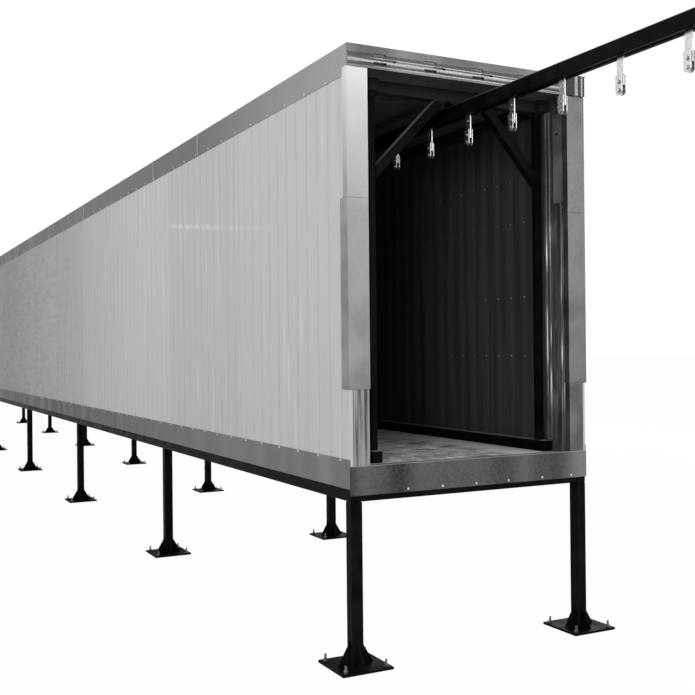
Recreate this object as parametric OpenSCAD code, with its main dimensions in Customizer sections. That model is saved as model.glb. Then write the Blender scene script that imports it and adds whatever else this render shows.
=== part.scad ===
// Powder coating oven: an insulated tunnel of sandwich panels on a legged steel base,
// with a portal frame inside it that carries an overhead conveyor track.
// Millimetres. Z is up, Y runs along the tunnel, and the front end faces -Y.

/* [Tunnel] */
// Number of bays between the leg rows
bays = 6; // [3:1:8]
// Length of one bay, from leg row to leg row
bay_length = 2500; // [1800:50:3500]
// Width over the outer faces of the walls
body_width = 1185; // [1150:5:2000]
// Clear height from the floor sheet to the ceiling
chamber_height = 1594; // [1400:2:2200]
// Thickness of the wall panels
wall_thickness = 80; // [60:5:90]
// Thickness of the roof panels
roof_thickness = 80; // [60:5:120]
// Thickness of the floor panels
floor_thickness = 78; // [60:1:110]
// Thickness of the sheet that lines the floor
floor_sheet_thickness = 2; // [1:0.5:6]
// Length of tunnel that one panel covers
panel_pitch = 1180; // [900:10:1250]
// Gap at the joint between two panels
panel_gap = 0.5; // [0.3:0.1:0.9]
// Thickness of the tongue along the edge of a panel
tongue_thickness = 20; // [10:1:40]
// How far the tongue stands out of the panel's edge
tongue_depth = 12; // [6:1:20]
// Gap between a tongue and its groove
tongue_clearance = 0.5; // [0.3:0.1:0.9]

/* [Base frame and legs] */
// Height of the underside of the base frame over the ground
base_height = 650; // [400:10:1200]
// Side of the square tube of the base frame
base_tube = 50; // [50:5:80]
// Side of the square tube of the legs
leg_tube = 50; // [40:5:50]
// How far the base frame stands back from the walls' outer faces
base_inset = 3; // [0:1:20]
// Side of the square foot plate
plate_side = 222; // [206:2:300]
// Thickness of the foot plate
plate_thickness = 10; // [6:1:20]
// Distance between neighbouring anchor holes of a foot plate
anchor_pitch = 178; // [150:2:180]
// Diameter of the anchor bolts that the holes take
anchor_diameter = 12; // [8:1:16]
// Room round an anchor bolt in its hole
anchor_clearance = 1; // [0.5:0.5:2]
// Reach of a gusset along the foot plate
gusset_reach = 52; // [30:2:60]
// Height of a gusset up the leg
gusset_height = 88; // [50:2:200]
// Thickness of a gusset
gusset_thickness = 6; // [4:1:12]

/* [Sheet metal trim] */
// Thickness of the flashings, the thresholds and the long wall end caps
sheet_thickness = 2; // [1:0.5:3]
// Height of the flashing along the foot of each wall
base_flashing_height = 117; // [100:1:180]
// How far the flashing along the head of each wall hangs down the wall
top_flashing_height = 121; // [95:1:200]
// Width of that flashing on the roof
top_flashing_turn = 90; // [40:5:200]
// How far the threshold hangs down over the base frame
threshold_drop = 26; // [10:1:45]
// How far the threshold stands over the floor sheet
threshold_rise = 11; // [6:1:30]
// Depth of the threshold's lip behind the end face
threshold_depth = 30; // [10:5:80]
// How far the long cap stays back from the wall's outer face
end_cap_margin = 14; // [4:1:30]
// Room between the long cap's inner turn and the wall
end_cap_room = 6; // [2:1:8]
// Depth of the inner turn of the long cap
end_cap_turn = 30; // [15:5:60]
// Thickness of the two covers over the long cap
cover_thickness = 3; // [2:0.5:5]
// Height of the lower cover's foot over the ground
cover_start = 1093; // [1000:1:1400]
// Height of the joint between the lower and the upper cover
cover_joint = 1850; // [1600:1:2000]
// Depth of the lower cover's turn along the wall
lower_cover_turn = 57; // [30:1:90]
// Depth of the upper cover's turn along the wall
upper_cover_turn = 31; // [15:1:90]
// Height of the fascia over each doorway
fascia_height = 88; // [84:1:120]
// How far the flat part of the fascia stands out
fascia_stand_out = 7; // [6:1:12]
// Height of the roll along the fascia
roll_height = 50; // [30:2:56]
// How far the roll stands out of the fascia
roll_depth = 7; // [3:1:12]
// How far the roll's middle lies under the fascia's top
roll_drop = 55; // [40:1:58]
// Width of the fascia's turn on the roof
fascia_turn = 90; // [40:5:200]
// Length of a slot in the fascia
slot_length = 59; // [30:1:80]
// Height of a slot in the fascia
slot_height = 10; // [4:1:12]
// Depth of a slot in the fascia
slot_depth = 5; // [2:0.5:5.5]
// Distance between two groups of slots
slot_group_pitch = 236; // [180:1:400]
// Distance from the left end of the fascia to the first group's middle
first_slot_group = 145; // [140:1:300]
// Sideways shift of the middle slot in a group
slot_shift = 43; // [10:1:60]

/* [Inner frame] */
// Room between the left wall and the left rails
left_rail_room = 90; // [20:5:120]
// Side of the square tube of the rails and cross beams
rail_tube = 50; // [40:5:60]
// Side of the square tube of the posts
post_tube = 30; // [25:5:40]
// Side of the square tube of the knee braces
brace_tube = 40; // [25:5:50]
// Distance of the rails' ends behind the end face
rail_inset = 130; // [80:5:150]
// Distance of the end portals' middle behind the end face
portal_inset = 185; // [180:5:400]
// Distance from a track plate's end to the middle of a left knee brace's head
left_brace_room = 49.5; // [40:0.5:120]
// Reach of a left knee brace down the post
left_brace_drop = 332; // [200:1:500]
// Distance from a track plate's end to the middle of a right knee brace's head
right_brace_room = 100.5; // [40:0.5:120]
// Reach of a right knee brace down the post
right_brace_drop = 309; // [200:1:500]

/* [Conveyor] */
// Width of the track
track_width = 56; // [50:1:80]
// Height of the track
track_height = 56; // [50:1:90]
// Thickness of the track's wall
track_wall = 3; // [2:0.5:4]
// Width of the slot along the underside of the track
track_slot = 16; // [12:1:18]
// Height of the plates that the track hangs from
bracket_height = 12; // [6:1:40]
// Length of those plates, across the tunnel
bracket_length = 90; // [60:5:160]
// How far the track runs on past each end of the tunnel
track_overhang = 1500; // [500:25:3000]
// Distance between the hangers
hanger_pitch = 310; // [200:5:800]
// Distance of the first hanger from the front end of the track
first_hanger = 43; // [40:1:150]
// Width of the hanger straps and clevis plates, along the track
strap_width = 32; // [24:1:44]
// Thickness of the hanger straps
strap_thickness = 5; // [4:0.5:8]
// Length of strap between the track and the clevis
strap_show = 64; // [40:1:200]
// Length of a clevis plate
clevis_length = 70; // [64:1:160]
// Thickness of a clevis plate
clevis_thickness = 3; // [2:0.5:6]
// Clear gap between the two clevis plates
clevis_gap = 14; // [12:1:30]
// Distance from a clevis plate's top to its bolt
clevis_bolt_drop = 24; // [14:1:26]
// Length of strap under the bolt
strap_tail = 13; // [10:1:16]
// Distance from the track's underside to the hole in the strap
strap_hole_drop = 26; // [14:1:40]
// Radius of the hole in the strap
strap_hole_radius = 3.5; // [2:0.5:6]
// Radius of the bolt and of the pin of a clevis
bolt_radius = 4; // [3:0.5:6]

/* [Hidden] */
LEFT = -1;
RIGHT = 1;
FRONT = -1;
REAR = 1;
circle_steps = 48;
cut = 1;
// Room between a bolt and its hole, and between a wheel and the track
running_gap = 0.2;

// Along the tunnel
leg_span = bays * bay_length;
body_length = leg_span + base_tube;
end_y = body_length / 2;
leg_rows = [for (i = [0 : bays]) i * bay_length - leg_span / 2];
portal_rows = [for (i = [0 : bays])
    i == 0 ? portal_inset - end_y : i == bays ? end_y - portal_inset : leg_rows[i]];
// A last panel shorter than this is joined to the one before it
shortest_panel = 150;
panel_starts = [for (s = 0; s < body_length - shortest_panel; s = s + panel_pitch) s];
last_panel = len(panel_starts) - 1;

// Across the tunnel
half_width = body_width / 2;
inner_half_width = half_width - wall_thickness;
beam_outer_x = half_width - base_inset;
leg_x = beam_outer_x - base_tube / 2;
frame_half_clear = (2 * inner_half_width - 2 * rail_tube - left_rail_room) / 2;
left_brace_run = frame_half_clear - bracket_length / 2 - left_brace_room;
right_brace_run = frame_half_clear - bracket_length / 2 - right_brace_room;
// The frame's right rails lie against the right wall
frame_x = inner_half_width - rail_tube - frame_half_clear;

// Levels
base_top = base_height + base_tube;
floor_panel_top = base_top + floor_thickness;
floor_level = floor_panel_top + floor_sheet_thickness;
ceiling_level = floor_level + chamber_height;
roof_top = ceiling_level + roof_thickness;
threshold_top = floor_level + threshold_rise;
rail_top = floor_level + rail_tube;
beam_bottom = ceiling_level - rail_tube;
track_top = beam_bottom - bracket_height;
track_bottom = track_top - track_height;
fascia_bottom = roof_top - fascia_height;

// Wall ends
cap_inner_x = inner_half_width - end_cap_room - sheet_thickness;
cover_outer_x = half_width + sheet_thickness + cover_thickness;

// Fascia: heights of the three rows of slots, down from the top
slot_drops = [fascia_height * 0.37, fascia_height * 0.6, fascia_height * 0.76];
slot_group_end = body_width - slot_shift - slot_length;

// Conveyor
chain_width = 8;
chain_height = 16;
chain_end_gap = 8;
wheel_radius = 13;
wheel_width = 9;
axle_radius = 4;
axle_stub = 5;
track_length = body_length + 2 * track_overhang;
wheel_axis_level = track_bottom + track_wall + wheel_radius + running_gap;
chain_bottom = wheel_axis_level - chain_height / 2;
hanger_rows = [for (y = first_hanger; y <= track_length - first_hanger; y = y + hanger_pitch)
    y - track_length / 2];
clevis_top = track_bottom - strap_show;
bolt_level = clevis_top - clevis_bolt_drop;
strap_bottom = bolt_level - strap_tail;
pin_level = clevis_top - clevis_length + strap_width / 2;
bolt_head_height = 6;
bolt_head_radius = 7;
spacer_radius = 6;

// A box from its lowest to its highest corner
module box(low, high) {
    translate(low) cube(high - low);
}

// Turns a front piece into a rear one where that is asked
module at_end(end) {
    if (end == FRONT) children();
    else mirror([0, 1, 0]) children();
}

// Turns a left piece into a right one where that is asked
module at_side(side) {
    if (side == LEFT) children();
    else mirror([1, 0, 0]) children();
}

module at_four_corners() {
    for (end = [FRONT, REAR], side = [LEFT, RIGHT])
        at_end(end) at_side(side) children();
}

// A slab between two corners of the cross section, cut into panels along the tunnel.
// Each panel has a groove in its front edge and a tongue on its rear edge.
module panel_row(low, high) {
    across_x = high[0] - low[0];
    across_z = high[1] - low[1];
    flat = across_x > across_z;
    middle = flat ? (low[1] + high[1]) / 2 : (low[0] + high[0]) / 2;
    for (i = [0 : last_panel]) {
        start = panel_starts[i] - end_y;
        finish = i == last_panel ? end_y : panel_starts[i + 1] - end_y - panel_gap;
        difference() {
            union() {
                box([low[0], start, low[1]], [high[0], finish, high[1]]);
                if (i < last_panel)
                    tongue(low, high, flat, middle, finish, finish + tongue_depth, 0);
            }
            if (i > 0)
                tongue(low, high, flat, middle, start - cut, start + tongue_depth, tongue_clearance);
        }
    }
}

// The tongue's bar, or with extra room the groove that it lies in
module tongue(low, high, flat, middle, y0, y1, room) {
    half = tongue_thickness / 2 + room;
    past = room > 0 ? cut : 0;
    if (flat)
        box([low[0] - past, y0, middle - half], [high[0] + past, y1, middle + half]);
    else
        box([middle - half, y0, low[1] - past], [middle + half, y1, high[1] + past]);
}

module wall(side) {
    color("gainsboro") at_side(side)
        panel_row([-half_width, floor_panel_top], [-inner_half_width, ceiling_level]);
}

module roof() {
    color("lightgray") panel_row([-half_width, ceiling_level], [half_width, roof_top]);
}

module floor_panels() {
    color("silver") panel_row([-half_width, base_top], [half_width, floor_panel_top]);
}

module floor_sheet() {
    color("darkgray")
        box([-inner_half_width, -end_y, floor_panel_top], [inner_half_width, end_y, floor_level]);
}

module base_side_beam(side) {
    color("black") at_side(side)
        box([-beam_outer_x, -end_y, base_height], [base_tube - beam_outer_x, end_y, base_top]);
}

module base_cross_beam(y) {
    color("black")
        box([base_tube - beam_outer_x, y - base_tube / 2, base_height],
            [beam_outer_x - base_tube, y + base_tube / 2, base_top]);
}

module base_cross_beams() {
    for (i = [1 : bays - 1]) base_cross_beam(leg_rows[i]);
}

module legs(side) {
    color("black")
        for (y = leg_rows)
            translate([side * leg_x, y, 0])
                box([-leg_tube / 2, -leg_tube / 2, plate_thickness],
                    [leg_tube / 2, leg_tube / 2, base_height]);
}

module foot_plate() {
    difference() {
        box([-plate_side / 2, -plate_side / 2, 0], [plate_side / 2, plate_side / 2, plate_thickness]);
        for (dx = [-1, 1], dy = [-1, 1])
            translate([dx * anchor_pitch / 2, dy * anchor_pitch / 2, -cut])
                cylinder(h = plate_thickness + 2 * cut, r = anchor_diameter / 2 + anchor_clearance,
                    $fn = circle_steps);
    }
}

module foot_plates() {
    color("black")
        for (side = [LEFT, RIGHT], y = leg_rows) translate([side * leg_x, y, 0]) foot_plate();
}

// One gusset, standing on the foot plate against the leg's -X face
module gusset() {
    translate([-leg_tube / 2, gusset_thickness / 2, plate_thickness])
        rotate([90, 0, 0])
            linear_extrude(gusset_thickness)
                polygon([[0, 0], [0, gusset_height], [-gusset_reach, 0]]);
}

module leg_gussets() {
    color("black")
        for (side = [LEFT, RIGHT], y = leg_rows, turn = [0, 90, 180, 270])
            translate([side * leg_x, y, 0]) rotate(turn) gusset();
}

module base_flashing(side) {
    color("darkgray") at_side(side)
        box([-half_width - sheet_thickness, -end_y, base_top],
            [-half_width, end_y, base_top + base_flashing_height]);
}

module top_flashing(side) {
    color("gray") at_side(side) {
        box([-half_width - sheet_thickness, -end_y, roof_top - top_flashing_height],
            [-half_width, end_y, roof_top + sheet_thickness]);
        box([-half_width, -end_y, roof_top],
            [top_flashing_turn - half_width, end_y, roof_top + sheet_thickness]);
    }
}

module threshold(end) {
    color("dimgray") at_end(end) {
        box([-half_width - sheet_thickness, -end_y - sheet_thickness, base_top - threshold_drop],
            [half_width + sheet_thickness, -end_y, threshold_top]);
        box([-inner_half_width, -end_y, floor_level],
            [inner_half_width, threshold_depth - end_y, threshold_top]);
    }
}

// Section of the fascia: X is how far it stands out of the end face, Y is the height
module fascia_section() {
    roll_radius = (pow(roll_height / 2, 2) + pow(roll_depth, 2)) / (2 * roll_depth);
    translate([0, fascia_bottom])
        square([fascia_stand_out, fascia_height + sheet_thickness]);
    intersection() {
        translate([fascia_stand_out + roll_depth - roll_radius, roof_top - roll_drop])
            circle(r = roll_radius, $fn = 2 * circle_steps);
        translate([0, roof_top - roll_drop - roll_height / 2])
            square([fascia_stand_out + roll_depth, roll_height]);
    }
}

module fascia_slots() {
    front = -end_y - fascia_stand_out - roll_depth;
    back = -end_y - fascia_stand_out + slot_depth;
    for (x = [first_slot_group : slot_group_pitch : slot_group_end], row = [0 : 2]) {
        middle = x - half_width + (row == 1 ? slot_shift : 0);
        level = roof_top - slot_drops[row];
        box([middle - slot_length / 2, front - cut, level - slot_height / 2],
            [middle + slot_length / 2, back, level + slot_height / 2]);
    }
}

module fascia(end) {
    color("gray") at_end(end) {
        difference() {
            translate([half_width + sheet_thickness, -end_y, 0])
                rotate([90, 0, -90])
                    linear_extrude(body_width + 2 * sheet_thickness) fascia_section();
            fascia_slots();
        }
        box([top_flashing_turn - half_width, -end_y, roof_top],
            [half_width - top_flashing_turn, fascia_turn - end_y, roof_top + sheet_thickness]);
    }
}

// The long cap: a front face over the wall's end and a turn along the wall's inner face
module wall_end_cap() {
    box([end_cap_margin - half_width, -end_y - sheet_thickness, threshold_top],
        [-cap_inner_x, -end_y, fascia_bottom]);
    box([-cap_inner_x - sheet_thickness, -end_y, threshold_top],
        [-cap_inner_x, end_cap_turn - end_y, fascia_bottom]);
}

module wall_end_caps() {
    color("darkgray") at_four_corners() wall_end_cap();
}

// A cover over the long cap, with a turn along the wall outside and one inside
module end_cover(bottom, top, turn) {
    front_y = -end_y - sheet_thickness;
    box([-cover_outer_x, front_y - cover_thickness, bottom],
        [cover_thickness - cap_inner_x, front_y, top]);
    box([-cover_outer_x, front_y, bottom], [cover_thickness - cover_outer_x, turn - end_y, top]);
    box([-cap_inner_x, front_y, bottom],
        [cover_thickness - cap_inner_x, end_cap_turn - end_y, top]);
}

module lower_end_covers() {
    color("lightgray") at_four_corners() end_cover(cover_start, cover_joint, lower_cover_turn);
}

module upper_end_covers() {
    color("lightgray") at_four_corners() end_cover(cover_joint, fascia_bottom, upper_cover_turn);
}

module rail(side, bottom) {
    color("black") translate([frame_x, 0, 0]) at_side(side)
        box([-frame_half_clear - rail_tube, rail_inset - end_y, bottom],
            [-frame_half_clear, end_y - rail_inset, bottom + rail_tube]);
}

module posts(side) {
    color("black")
        for (y = portal_rows)
            translate([frame_x, y, 0]) at_side(side)
                box([-frame_half_clear - post_tube, -post_tube / 2, rail_top],
                    [-frame_half_clear, post_tube / 2, beam_bottom]);
}

module cross_beams() {
    color("black")
        for (y = portal_rows)
            translate([frame_x, y, 0])
                box([-frame_half_clear, -rail_tube / 2, beam_bottom],
                    [frame_half_clear, rail_tube / 2, ceiling_level]);
}

// One knee brace on the left, from the post's inner face to the cross beam's underside
module knee_brace(run, drop) {
    slope = atan(drop / run);
    half_on_post = brace_tube / cos(slope) / 2;
    half_on_beam = brace_tube / sin(slope) / 2;
    translate([-frame_half_clear, brace_tube / 2, beam_bottom])
        rotate([90, 0, 0])
            linear_extrude(brace_tube)
                polygon([[0, -drop - half_on_post], [0, half_on_post - drop],
                         [run - half_on_beam, 0], [run + half_on_beam, 0]]);
}

module knee_braces(side, run, drop) {
    color("black")
        for (y = portal_rows) translate([frame_x, y, 0]) at_side(side) knee_brace(run, drop);
}

// Section of the track: a box with a slot along its underside
module track_section() {
    difference() {
        translate([-track_width / 2, track_bottom]) square([track_width, track_height]);
        translate([track_wall - track_width / 2, track_bottom + track_wall])
            square([track_width - 2 * track_wall, track_height - 2 * track_wall]);
        translate([-track_slot / 2, track_bottom - cut]) square([track_slot, track_wall + 2 * cut]);
    }
}

module conveyor_track() {
    color("black")
        translate([frame_x, track_length / 2, 0])
            rotate([90, 0, 0]) linear_extrude(track_length) track_section();
}

module track_brackets() {
    color("black")
        for (y = portal_rows)
            translate([frame_x, y, 0])
                box([-bracket_length / 2, -rail_tube / 2, track_top],
                    [bracket_length / 2, rail_tube / 2, beam_bottom]);
}

module conveyor_chain() {
    color("gray")
        box([frame_x - chain_width / 2, chain_end_gap - track_length / 2, chain_bottom],
            [frame_x + chain_width / 2, track_length / 2 - chain_end_gap,
             chain_bottom + chain_height]);
}

// One wheel and its axle stub, beside the chain's -X face
module trolley_wheel() {
    translate([-chain_width / 2, 0, 0])
        rotate([0, -90, 0]) {
            cylinder(h = axle_stub, r = axle_radius, $fn = circle_steps);
            translate([0, 0, axle_stub])
                cylinder(h = wheel_width, r = wheel_radius, $fn = circle_steps);
        }
}

module trolley_wheels() {
    color("silver")
        for (y = hanger_rows, side = [LEFT, RIGHT])
            translate([frame_x, y, wheel_axis_level]) at_side(side) trolley_wheel();
}

// A hole across the hanger
module cross_hole(level, radius) {
    reach = clevis_gap + 2 * clevis_thickness;
    translate([-reach, 0, level])
        rotate([0, 90, 0]) cylinder(h = 2 * reach, r = radius, $fn = circle_steps);
}

module hanger_straps() {
    color("gainsboro")
        for (y = hanger_rows)
            translate([frame_x, y, 0])
                difference() {
                    box([-strap_thickness / 2, -strap_width / 2, strap_bottom],
                        [strap_thickness / 2, strap_width / 2, chain_bottom]);
                    cross_hole(bolt_level, bolt_radius + running_gap);
                    cross_hole(track_bottom - strap_hole_drop, strap_hole_radius);
                }
}

// One clevis plate on the -X side, round at its foot
module clevis_plate() {
    difference() {
        translate([-clevis_gap / 2 - clevis_thickness, 0, 0])
            rotate([90, 0, 90])
                linear_extrude(clevis_thickness) {
                    translate([-strap_width / 2, pin_level])
                        square([strap_width, clevis_top - pin_level]);
                    translate([0, pin_level]) circle(r = strap_width / 2, $fn = circle_steps);
                }
        cross_hole(bolt_level, bolt_radius + running_gap);
        cross_hole(pin_level, bolt_radius + running_gap);
    }
}

module hanger_clevises() {
    color("silver")
        for (y = hanger_rows, side = [LEFT, RIGHT])
            translate([frame_x, y, 0]) at_side(side) clevis_plate();
}

// A bolt across the clevis, with its head and its nut outside the plates
module cross_bolt() {
    reach = clevis_gap / 2 + clevis_thickness;
    rotate([0, 90, 0]) {
        translate([0, 0, -reach])
            cylinder(h = 2 * reach, r = bolt_radius, $fn = circle_steps);
        for (start = [-reach - bolt_head_height, reach])
            translate([0, 0, start])
                cylinder(h = bolt_head_height, r = bolt_head_radius, $fn = circle_steps);
    }
}

// The upper bolt, with a spacer on each side of the strap
module hanger_bolts() {
    color("dimgray")
        for (y = hanger_rows)
            translate([frame_x, y, bolt_level]) {
                cross_bolt();
                for (side = [LEFT, RIGHT]) at_side(side)
                    translate([-clevis_gap / 2, 0, 0])
                        rotate([0, 90, 0])
                            cylinder(h = (clevis_gap - strap_thickness) / 2, r = spacer_radius,
                                $fn = circle_steps);
            }
}

module clevis_pins() {
    color("dimgray")
        for (y = hanger_rows) translate([frame_x, y, pin_level]) cross_bolt();
}

wall(LEFT);  // left_wall
wall(RIGHT);  // right_wall
roof();
floor_panels();
floor_sheet();
base_side_beam(LEFT);  // base_side_beam_left
base_side_beam(RIGHT);  // base_side_beam_right
base_cross_beam(leg_rows[0]);  // base_end_beam_front
base_cross_beam(leg_rows[bays]);  // base_end_beam_rear
base_cross_beams();
legs(LEFT);  // legs_left
legs(RIGHT);  // legs_right
foot_plates();
leg_gussets();
base_flashing(LEFT);  // base_flashing_left
base_flashing(RIGHT);  // base_flashing_right
top_flashing(LEFT);  // top_flashing_left
top_flashing(RIGHT);  // top_flashing_right
threshold(FRONT);  // threshold_front
threshold(REAR);  // threshold_rear
fascia(FRONT);  // fascia_front
fascia(REAR);  // fascia_rear
wall_end_caps();
lower_end_covers();
upper_end_covers();
rail(LEFT, floor_level);  // bottom_rail_left
rail(RIGHT, floor_level);  // bottom_rail_right
rail(LEFT, beam_bottom);  // top_rail_left
rail(RIGHT, beam_bottom);  // top_rail_right
posts(LEFT);  // posts_left
posts(RIGHT);  // posts_right
cross_beams();
knee_braces(LEFT, left_brace_run, left_brace_drop);  // knee_braces_left
knee_braces(RIGHT, right_brace_run, right_brace_drop);  // knee_braces_right
conveyor_track();
track_brackets();
conveyor_chain();
trolley_wheels();
hanger_straps();
hanger_clevises();
hanger_bolts();
clevis_pins();
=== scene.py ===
"""Looks of the powder coating oven: panel skins, sheet metal trim, black steelwork and conveyor."""

import math

import bmesh
import bpy
from mathutils import Matrix, Vector


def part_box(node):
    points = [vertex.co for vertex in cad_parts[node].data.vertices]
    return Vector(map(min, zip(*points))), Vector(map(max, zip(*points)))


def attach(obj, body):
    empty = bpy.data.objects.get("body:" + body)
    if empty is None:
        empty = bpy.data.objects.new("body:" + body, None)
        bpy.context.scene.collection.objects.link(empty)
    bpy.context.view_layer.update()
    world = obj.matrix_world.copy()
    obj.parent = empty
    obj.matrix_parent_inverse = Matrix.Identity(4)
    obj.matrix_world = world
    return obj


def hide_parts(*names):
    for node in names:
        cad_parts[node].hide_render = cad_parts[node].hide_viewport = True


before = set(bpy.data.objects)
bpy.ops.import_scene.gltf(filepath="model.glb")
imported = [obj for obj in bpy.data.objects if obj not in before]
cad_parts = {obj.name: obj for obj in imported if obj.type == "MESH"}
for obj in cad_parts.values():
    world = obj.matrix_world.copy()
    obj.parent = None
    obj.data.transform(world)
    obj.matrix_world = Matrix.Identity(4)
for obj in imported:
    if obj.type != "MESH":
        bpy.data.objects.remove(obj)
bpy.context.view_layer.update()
MM = 0.001
HAIR = 0.00001
UP = Vector((0, 0, 1))


# Places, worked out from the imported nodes

def low(name):
    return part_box(name)[0]


def high(name):
    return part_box(name)[1]


FRONT_Y = low("left_wall").y
REAR_Y = high("left_wall").y
LENGTH = REAR_Y - FRONT_Y
OUTER_X = high("right_wall").x
INNER_X = low("right_wall").x
FLOOR_Z = high("floor_sheet").z
CEILING_Z = low("roof").z
ROOF_Z = high("roof").z
BASE_TOP_Z = low("base_flashing_left").z
FLASHING_TOP_Z = high("base_flashing_left").z
TOP_FLASHING_Z = low("top_flashing_left").z
RAIL_TOP_Z = high("bottom_rail_left").z
BEAM_BOTTOM_Z = low("cross_beams").z
PANEL = 1180 * MM
PANELS = math.ceil(LENGTH / PANEL - 0.1)
RIB_PITCH = 104 * MM
FIRST_RIB = 69 * MM
RIBS_PER_PANEL = 11
BAY = 2500 * MM
LEG_ROWS = [FRONT_Y + 25 * MM + i * BAY for i in range(7)]
LEG_X = (low("legs_right").x + high("legs_right").x) / 2
LEG_HALF = (high("legs_right").x - low("legs_right").x) / 2
PLATE_TOP = high("foot_plates").z
PLATE_HALF = high("foot_plates").x - LEG_X
ANCHOR_OFFSET = PLATE_HALF - 22 * MM


# Camera, solved from the photograph

CAMERA_FROM_CORNER = Vector((-1776, -3435.7, 1248)) * MM
YAW = 0.4755
PITCH = 0.0028
ROLL = -0.0099
FOCAL_PX = 986.03
IMAGE_PX = 695
SENSOR = 36


def add_camera():
    forward = Vector((math.sin(YAW) * math.cos(PITCH), math.cos(YAW) * math.cos(PITCH),
                      math.sin(PITCH)))
    level = Vector((math.cos(YAW), -math.sin(YAW), 0))
    top = level.cross(forward)
    right = math.cos(ROLL) * level + math.sin(ROLL) * top
    above = math.cos(ROLL) * top - math.sin(ROLL) * level
    data = bpy.data.cameras.new("camera")
    data.sensor_width = SENSOR
    data.lens = FOCAL_PX * SENSOR / IMAGE_PX
    data.clip_end = 200
    camera = bpy.data.objects.new("camera", data)
    camera.matrix_world = Matrix((
        (right.x, above.x, -forward.x, -OUTER_X + CAMERA_FROM_CORNER.x),
        (right.y, above.y, -forward.y, FRONT_Y + CAMERA_FROM_CORNER.y),
        (right.z, above.z, -forward.z, CAMERA_FROM_CORNER.z),
        (0, 0, 0, 1)))
    bpy.context.scene.collection.objects.link(camera)
    bpy.context.scene.camera = camera


# Materials

def linear(hex_colour):
    """An sRGB hex colour as linear light."""
    channels = [int(hex_colour[i:i + 2], 16) / 255 for i in (0, 2, 4)]
    return tuple(c / 12.92 if c <= 0.04045 else ((c + 0.055) / 1.055) ** 2.4
                 for c in channels) + (1.0,)


def add_node(tree, kind, inputs=None, output=0, stops=(), **settings):
    """Adds a node with its settings, values and links, and gives back the output that is used."""
    made = tree.nodes.new(kind)
    for name, value in settings.items():
        setattr(made, name, value)
    for socket, value in (inputs or {}).items():
        if isinstance(value, bpy.types.NodeSocket):
            tree.links.new(value, made.inputs[socket])
        else:
            made.inputs[socket].default_value = value
    for i, (position, colour) in enumerate(stops):
        elements = made.color_ramp.elements
        element = elements[i] if i < 2 else elements.new(position)
        element.position, element.color = position, linear(colour)
    return made.outputs[output] if made.outputs else made


def new_material(name):
    """An empty material with its tree and its Object coordinates, whole and split."""
    material = bpy.data.materials.new(name)
    material.use_nodes = True
    tree = material.node_tree
    tree.nodes.clear()
    place = add_node(tree, "ShaderNodeTexCoord", output="Object")
    return material, tree, place, add_node(tree, "ShaderNodeSeparateXYZ", {0: place}).node.outputs


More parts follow.
